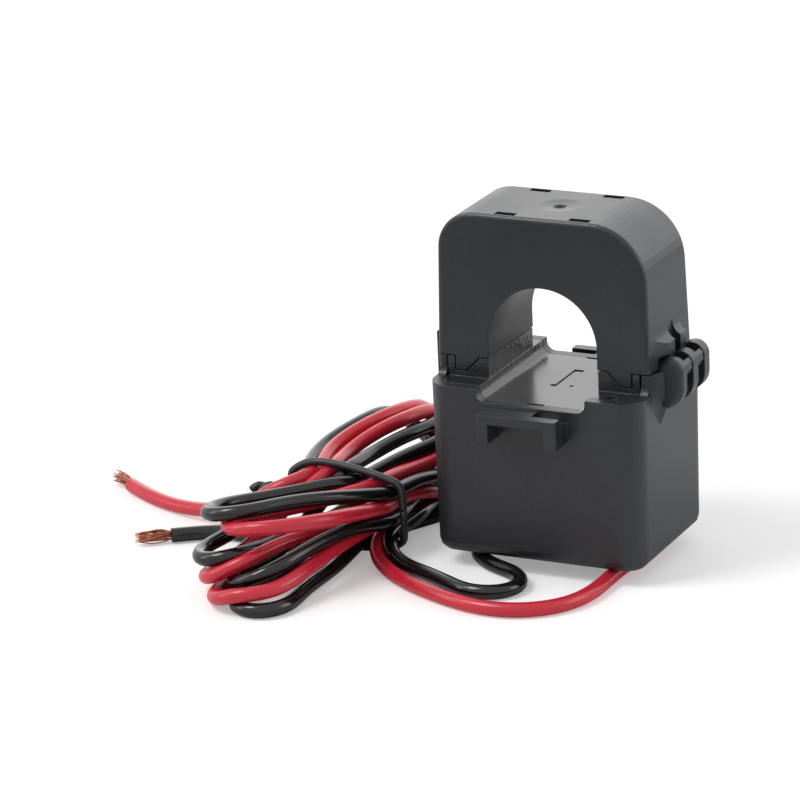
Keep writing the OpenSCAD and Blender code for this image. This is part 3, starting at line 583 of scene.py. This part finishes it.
def smooth_line(points, parts=12):
    """A smooth line through points, with centripetal spacing so that it doesn't loop."""
    points = np.array(points, float)
    last = len(points) - 1
    line = []
    for i in range(last):
        before, a, b, after = (points[min(max(k, 0), last)] for k in (i - 1, i, i + 1, i + 2))
        gaps = [max(np.linalg.norm(q - p), 0.001) ** 0.5
                for p, q in ((before, a), (a, b), (b, after))]
        out = into = b - a
        if i > 0:
            out = out + gaps[1] * ((a - before) / gaps[0] - (b - before) / (gaps[0] + gaps[1]))
        if i < last - 1:
            into = into + gaps[1] * ((after - b) / gaps[2] - (after - a) / (gaps[1] + gaps[2]))
        for t in np.arange(parts) / parts:
            line.append((2 * t**3 - 3 * t**2 + 1) * a + (t**3 - 2 * t**2 + t) * out
                        + (3 * t**2 - 2 * t**3) * b + (t**3 - t**2) * into)
    return np.array(line + [points[-1]])


def evenly(line, step):
    """The same line with points a step apart."""
    along = np.r_[0, np.cumsum(np.linalg.norm(np.diff(line, axis=0), axis=1))]
    stops = np.linspace(0, along[-1], int(round(along[-1] / step)) + 1)
    return np.stack([np.interp(stops, along, line[:, k]) for k in range(3)], 1)


def lead_route(out, folds, tail):
    """All points of one lead, from its outlet through the hank to its free end."""
    def at_tie(run):
        return (RUNS[run][0], TIE_Y, RUNS[run][1])
    points = list(out)
    for enters, leaves, bend in folds:
        points += [at_tie(enters), *bend]
    return points + [at_tie(leaves), *tail]


def settle(lines, diameter, step, lowest):
    """Rounds off tight bends and pushes touching runs apart, as leads do when they are tied up.

    Millimetres. Each round moves all points at once by what bends, stretches and touches."""
    rounds = 900
    tightest = 11.0  # radius below which a bend is taken out faster
    stuck = 7  # points at the outlet that stay where they are
    firm, slack = 0.04, 0.0012  # pull back to the drawn course, at the tie and elsewhere
    soft, stiff = 0.06, 0.24  # share of a bend taken out a round: always, and where tight
    spring, shove = 0.2, 0.25  # share of a stretch and of an overlap taken out a round
    search, renew = 3.0, 8  # how far apart pairs are listed, and for how many rounds
    apart = math.ceil(2.2 * diameter / step)  # points of one lead nearer than this never touch
    tied_half = 1.2  # half length of what the tie holds of each run
    bed_half, bed_lift = 1.5, 1.5  # half length and height of the wire's bed under the runs

    spots = np.concatenate(lines)
    wanted = spots.copy()
    lead = np.concatenate([np.full(len(line), i) for i, line in enumerate(lines)])
    place = np.concatenate([np.arange(len(line)) for line in lines])
    left = np.concatenate([len(line) - 1 - np.arange(len(line)) for line in lines])
    free = (place > stuck)[:, None]
    inner = np.where((place > 0) & (left > 0))[0]
    first = np.where(left > 0)[0]
    tied = (np.abs(wanted[:, 1] - TIE_Y) < tied_half) & (wanted[:, 0] < HANK_FACE)
    hold = np.where(tied, firm, slack)[:, None]
    sag = step**2 / (2 * tightest)
    for turn in range(rounds):
        if turn % renew == 0:
            offset = spots[None] - spots[:, None]
            near = (offset**2).sum(2) < (diameter + search)**2
            near &= (lead[:, None] != lead[None]) | (np.abs(place[:, None] - place[None]) > apart)
            one, other = np.where(np.triu(near, 1))
        move = hold * (wanted - spots)
        pull = 0.5 * (spots[inner - 1] + spots[inner + 1]) - spots[inner]
        size = np.linalg.norm(pull, axis=1, keepdims=True) + 1e-9
        bend = (soft + stiff * np.maximum(0, 1 - sag / size)) * pull
        move[inner] += bend
        move[inner - 1] -= 0.5 * bend
        move[inner + 1] -= 0.5 * bend
        ahead = spots[first + 1] - spots[first]
        size = np.linalg.norm(ahead, axis=1, keepdims=True) + 1e-9
        stretch = spring * (size - step) / size * ahead
        move[first] += stretch
        move[first + 1] -= stretch
        offset = spots[other] - spots[one]
        size = np.linalg.norm(offset, axis=1, keepdims=True) + 1e-9
        push = np.where(size < diameter, shove * (diameter - size) / size, 0) * offset
        np.add.at(move, one, -push)
        np.add.at(move, other, push)
        spots = spots + free * move
        in_bed = (np.abs(spots[:, 1] - TIE_Y) < bed_half) & (spots[:, 0] < HANK_FACE)
        spots[:, 2] = np.maximum(spots[:, 2], lowest + np.where(in_bed, bed_lift, 0.0))
    return [spots[lead == i] for i in range(len(lines))]


def make_lead(name, line, diameter, material):
    """A lead as a round curve along its line, which it keeps for the steps that follow."""
    curve = bpy.data.curves.new(name, "CURVE")
    curve.dimensions = "3D"
    curve.bevel_depth = 1.0  # multiplied by the radius of each point
    curve.bevel_resolution = 5
    curve.use_fill_caps = True
    spline = curve.splines.new("POLY")
    spline.points.add(len(line) - 1)
    for spot, place in zip(spline.points, in_row(line)):
        spot.co = (*place, 1.0)
        spot.radius = diameter / 2
    lead = new_piece(name, curve, material)
    lead["line"] = [float(v) for v in line.flatten()]
    return lead


def laid_lead(colour):
    """A lead that is already laid, and the points of its line in millimetres."""
    lead = bpy.data.objects[colour + "_wire"]
    return lead, np.array(lead["line"]).reshape(-1, 3)


def tube(mesh, line, radius, sides):
    """Adds a round tube along a line to a mesh being built."""
    rings = []
    for i, place in enumerate(line):
        ahead = (line[min(i + 1, len(line) - 1)] - line[max(i - 1, 0)]).normalized()
        side = ahead.cross(Vector((0, 0, 1)))
        side = side.normalized() if side.length > 0.01 else Vector((1, 0, 0))
        up = side.cross(ahead)
        rings.append([mesh.verts.new(place + radius * (math.cos(a) * side + math.sin(a) * up))
                      for a in (math.tau * k / sides for k in range(sides))])
    for low, high in zip(rings, rings[1:]):
        for k in range(sides):
            mesh.faces.new((low[k], low[(k + 1) % sides], high[(k + 1) % sides], high[k]))
    mesh.faces.new(rings[0][::-1])
    mesh.faces.new(rings[-1])


def finish_mesh(name, mesh, material):
    """Turns a mesh being built into a smooth-shaded piece."""
    data = bpy.data.meshes.new(name)
    bmesh.ops.recalc_face_normals(mesh, faces=mesh.faces)
    mesh.to_mesh(data)
    mesh.free()
    for face in data.polygons:
        face.use_smooth = True
    return new_piece(name, data, material)


def tie_ring(crossings, reach):
    """The loop of the tie in its own plane: the tightest one that stays a reach off the leads."""
    turns, rounds = 48, 6  # corners of the loop, and how often they are averaged
    middle_x, middle_z = -44.5, 6.6  # a place inside the hank
    angles = [math.tau * k / turns for k in range(turns + 1)]
    far = [reach + max((x - middle_x) * math.cos(a) + (z - middle_z) * math.sin(a)
                       for x, z in crossings) for a in angles[:-1]]
    ring = []
    for k in range(turns):  # two neighbouring tangents meet in each corner
        a0, a1 = angles[k], angles[k + 1]
        h0, h1 = far[k], far[(k + 1) % turns]
        det = math.cos(a0) * math.sin(a1) - math.sin(a0) * math.cos(a1)
        x = (h0 * math.sin(a1) - h1 * math.sin(a0)) / det
        z = (h1 * math.cos(a0) - h0 * math.cos(a1)) / det
        ring.append((middle_x + x, TIE_Y, middle_z + z))
    for _ in range(rounds):
        ring = [tuple((a + b + c) / 3 for a, b, c in zip(
            ring[k - 1], ring[k], ring[(k + 1) % turns])) for k in range(turns)]
    return ring + ring[:1]


# ---------------------------------------------------------------- steps


class TRANSFORMER_OT_leads(bpy.types.Operator):
    """Lay both leads: out of the housing, through the tied hank and on to their free ends"""

    bl_idname = "transformer.leads"
    bl_label = "Leads"

    def execute(self, context):
        leads = context.scene.transformer_leads
        step = 2.0  # millimetres between the points of a lead
        routes = (lead_route(BLACK_OUT, BLACK_FOLDS, BLACK_TAIL),
                  lead_route(RED_OUT, RED_FOLDS, RED_TAIL))
        black, red = settle([evenly(smooth_line(route), step) for route in routes],
                            leads.diameter / MM, step, LYING)
        black_pvc = pvc_insulation(
            "black PVC insulation, extruded", leads.black, roughness=0.17)
        red_pvc = pvc_insulation("red PVC insulation, extruded", leads.red, roughness=0.26)
        for colour, line, look, stands_for in (
                ("black", black, black_pvc, ("black_lead", "black_tail", "lead_hank")),
                ("red", red, red_pvc, ("red_lead", "red_tail"))):
            lead = make_lead(colour + "_wire", smooth_line(line, parts=3), leads.diameter, look)
            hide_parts(*stands_for)
        return {"FINISHED"}


class TRANSFORMER_OT_strands(bpy.types.Operator):
    """Fan the bare copper strands out of both cut ends"""

    bl_idname = "transformer.strands"
    bl_label = "Bare strands"

    def execute(self, context):
        leads = context.scene.transformer_leads
        copper = drawn_copper("bare copper strand, drawn", "#b8735a")
        bundle = 0.85 * MM  # radius that the strands fill inside the insulation
        sunk = 0.5 * MM  # how deep in the insulation they start
        behind = 6  # points back along the lead, which give its direction at the cut
        parts, sides = 7, 6
        for colour, seed in (("red", 11), ("black", 5)):
            _, line = laid_lead(colour)
            end, before = in_row([line[-1], line[-1 - behind]])
            ahead = (end - before).normalized()
            side = ahead.cross(Vector((0, 0, 1))).normalized()
            up = side.cross(ahead)
            draw = random.Random(seed)
            mesh = bmesh.new()
            for _ in range(leads.strands):
                turn = draw.uniform(0, math.tau)
                start = bundle * math.sqrt(draw.random())
                spread = draw.uniform(0.8, 1.9)
                twist = draw.uniform(0.5, 1.4)
                reach = leads.bare * draw.uniform(0.72, 1.0)
                bow = draw.uniform(-0.5, 0.5) * MM
                path = []
                for k in range(parts + 1):
                    t = k / parts
                    r = start * (1 + (spread - 1) * t) + bow * math.sin(math.pi * t)
                    a = turn + twist * t
                    path.append(end + ahead * (reach * t - sunk)
                                + side * r * math.cos(a) + up * (r * math.sin(a)))
                tube(mesh, path, leads.strand / 2, sides)
            piece = finish_mesh(colour + "_bare_end", mesh, copper)
            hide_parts(colour + "_strands")
        return {"FINISHED"}


class TRANSFORMER_OT_tie(bpy.types.Operator):
    """Wrap the coated wire tie round the hank and twist its ends"""

    bl_idname = "transformer.tie"
    bl_label = "Twist tie"

    def execute(self, context):
        leads = context.scene.transformer_leads
        gap, sides, ring_step = 0.3, 10, 0.7
        tied_span = (-57, HANK_FACE)  # the red tail crosses again beyond the span
        crossings = []
        for colour in ("black", "red"):
            _, line = laid_lead(colour)
            over = np.where((line[1:, 1] - TIE_Y) * (line[:-1, 1] - TIE_Y) <= 0)[0]
            crossings += [(x, z) for x, _, z in line[over] if tied_span[0] < x < tied_span[1]]
        ring = tie_ring(crossings, (leads.diameter + leads.tie) / 2 / MM + gap)
        mesh = bmesh.new()
        tube(mesh, in_row(evenly(smooth_line(ring, parts=2), ring_step)), leads.tie / 2, sides)

        knot = (-58.2, TIE_Y, 8.6)  # where the two ends of the tie start to twist, in mm
        length, drop, radius, half_turns, parts = 7.5, 1.0, 0.75, 3, 11
        for end in (0, 1):
            path = []
            for k in range(parts + 1):
                t = k / parts
                a = math.pi * (end + half_turns * t)
                path.append((knot[0] - length * t, knot[1] + radius * math.cos(a),
                             knot[2] - drop * t + radius * math.sin(a)))
            tube(mesh, in_row(path), leads.tie / 2, sides)
        coated = pvc_insulation("twist tie, plastic-coated wire", "#202124", roughness=0.42)
        tie = finish_mesh("tie_wire", mesh, coated)
        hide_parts("twist_tie")

        for colour, outlet, carried in (("black", BLACK_OUT[1], [tie]), ("red", RED_OUT[1], [])):
            lead, line = laid_lead(colour)
            length = float(np.linalg.norm(np.diff(line, axis=0), axis=1).sum()) * MM
            del lead["line"]
        return {"FINISHED"}


class TRANSFORMER_OT_mouldings(bpy.types.Operator):
    """Give the plastic mouldings their colour, grain and broken edges"""

    bl_idname = "transformer.mouldings"
    bl_label = "Mouldings"

    def execute(self, context):
        finish = context.scene.transformer_finish
        outer = spark_eroded_abs(
            "ABS, spark-eroded grain", finish.shell, finish.grain, finish.edge)
        insert = sparked_abs_insert(
            "ABS, polished flats and sparked walls", finish.insert, finish.speckle, finish.edge,
            rough_above=UNDERSIDE + TRAY * MM)
        nylon = moulded_nylon("glass-filled nylon, moulded", finish.bobbin)
        for name, look in (
                ("lower_housing", outer), ("upper_shell", outer), ("core_carrier", insert),
                ("core_holder", insert), ("bobbin", nylon)):
            dress(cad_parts[name], look)
        return {"FINISHED"}


class TRANSFORMER_OT_magnetics(bpy.types.Operator):
    """Give the core, spring, winding and sleeves their finishes"""

    bl_idname = "transformer.magnetics"
    bl_label = "Magnetic circuit"

    def execute(self, context):
        # Core strip is 0.3 mm thick: its layers are drawn 0.6 mm apart so that they show
        core = strip_steel(
            "silicon steel strip, wound and cut", "#8b8d92", strip=0.6 * MM, roughness=0.38)
        spring = strip_steel(
            "spring steel strip, rolled", "#a9abae", strip=1.5 * MM, roughness=0.25)
        copper = enamelled_copper(
            "enamelled copper wire, layer wound", "#a85c34", wire=0.4 * MM)
        tape = polyester_tape("polyester film tape", "#c9a63c")
        sleeving = polyolefin_sleeving("polyolefin sleeving, shrunk", "#1b1c1e")
        for name, look in (
                ("upper_core", core), ("lower_core", core), ("core_spring", spring),
                ("secondary_winding", copper), ("winding_tape", tape),
                ("red_sleeve", sleeving), ("black_sleeve", sleeving)):
            dress(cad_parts[name], look)
        return {"FINISHED"}


class TRANSFORMER_OT_stage(bpy.types.Operator):
    """Set the floor, the soft lights, the pale surroundings and the camera"""

    bl_idname = "transformer.stage"
    bl_label = "Stage"

    def execute(self, context):
        studio = context.scene.transformer_studio
        scene = context.scene
        az, el, roll = (math.radians(v) for v in (studio.azimuth, studio.elevation, studio.roll))
        toward = Vector((math.sin(az) * math.cos(el), -math.cos(az) * math.cos(el), math.sin(el)))
        level = Vector((math.cos(az), math.sin(az), 0))
        above = level.cross(-toward)
        right = math.cos(roll) * level + math.sin(roll) * above
        up = -math.sin(roll) * level + math.cos(roll) * above
        aim = in_row([(0, 0, RIM)])[0]
        place = aim - studio.left * right - studio.below * up + studio.distance * toward
        camera = bpy.data.objects.new("camera", bpy.data.cameras.new("camera"))
        camera.data.lens = studio.lens
        camera.data.sensor_width = 36
        camera.data.clip_start = 0.05
        turned = Matrix((right, up, toward)).transposed().to_4x4()
        camera.matrix_world = Matrix.Translation(place) @ turned
        scene.collection.objects.link(camera)
        scene.camera = camera

        half_side = 3
        mesh = bmesh.new()
        bmesh.ops.create_grid(mesh, x_segments=1, y_segments=1, size=half_side)
        data = bpy.data.meshes.new("floor")
        mesh.to_mesh(data)
        mesh.free()
        floor = bpy.data.objects.new("floor", data)
        floor.location = (0, 0, FLOOR)
        scene.collection.objects.link(floor)
        # The floor's dark front end is painted shade, which the camera sees glowing white
        dress(floor, white_card_painted_shade_front("matt white card, painted dark in front as shade"))

        scene.world = white_room("white room", studio.level)
        scene.view_settings.view_transform = "Standard"

        # Place and size in metres, then how bright the panel looks beside the white room
        for name, place, size, shine in (
                ("white_wall", (-0.1, 1.3, 0.55), (2.6, 1.2), 1.0),
                ("soft_top", (-0.33, -0.28, 0.58), (0.28, 0.28), 8.5),
                ("soft_left", (-0.65, -0.3, 0.3), (0.3, 0.5), 2.0),
                ("soft_right", (0.7, 0.2, 0.3), (0.4, 0.5), 2.2)):
            light = bpy.data.lights.new(name, "AREA")
            light.shape = "RECTANGLE"
            light.size, light.size_y = size
            light.energy = shine * math.pi * size[0] * size[1]
            lamp = bpy.data.objects.new(name, light)
            lamp.location = place
            lamp.rotation_euler = (-Vector(place)).to_track_quat("-Z", "Y").to_euler()
            scene.collection.objects.link(lamp)
        return {"FINISHED"}


STEPS = (
    TRANSFORMER_OT_stage, TRANSFORMER_OT_leads, TRANSFORMER_OT_strands, TRANSFORMER_OT_tie,
    TRANSFORMER_OT_mouldings, TRANSFORMER_OT_magnetics,
)


class TRANSFORMER_PT_panel(bpy.types.Panel):
    """Lists the steps that dress the current transformer"""

    bl_label = "Current Transformer"
    bl_space_type = "VIEW_3D"
    bl_region_type = "UI"
    bl_category = "Transformer"

    def draw(self, context):
        for step in STEPS:
            self.layout.operator(step.bl_idname)
        for group in SETTINGS:
            settings = getattr(context.scene, group)
            for name in settings.__annotations__:
                self.layout.prop(settings, name)


SETTINGS = {
    "transformer_leads": LeadSettings,
    "transformer_finish": FinishSettings,
    "transformer_studio": StudioSettings,
}
CLASSES = (*SETTINGS.values(), *STEPS, TRANSFORMER_PT_panel)


def register():
    for made in CLASSES:
        bpy.utils.register_class(made)
    for name, group in SETTINGS.items():
        setattr(bpy.types.Scene, name, PointerProperty(type=group))


def unregister():
    for name in SETTINGS:
        delattr(bpy.types.Scene, name)
    for made in reversed(CLASSES):
        bpy.utils.unregister_class(made)


def main():
    register()
    bpy.ops.transformer.stage()
    bpy.ops.transformer.leads()
    bpy.ops.transformer.strands()
    bpy.ops.transformer.tie()
    bpy.ops.transformer.mouldings()
    bpy.ops.transformer.magnetics()


if __name__ == "__main__":
    main()
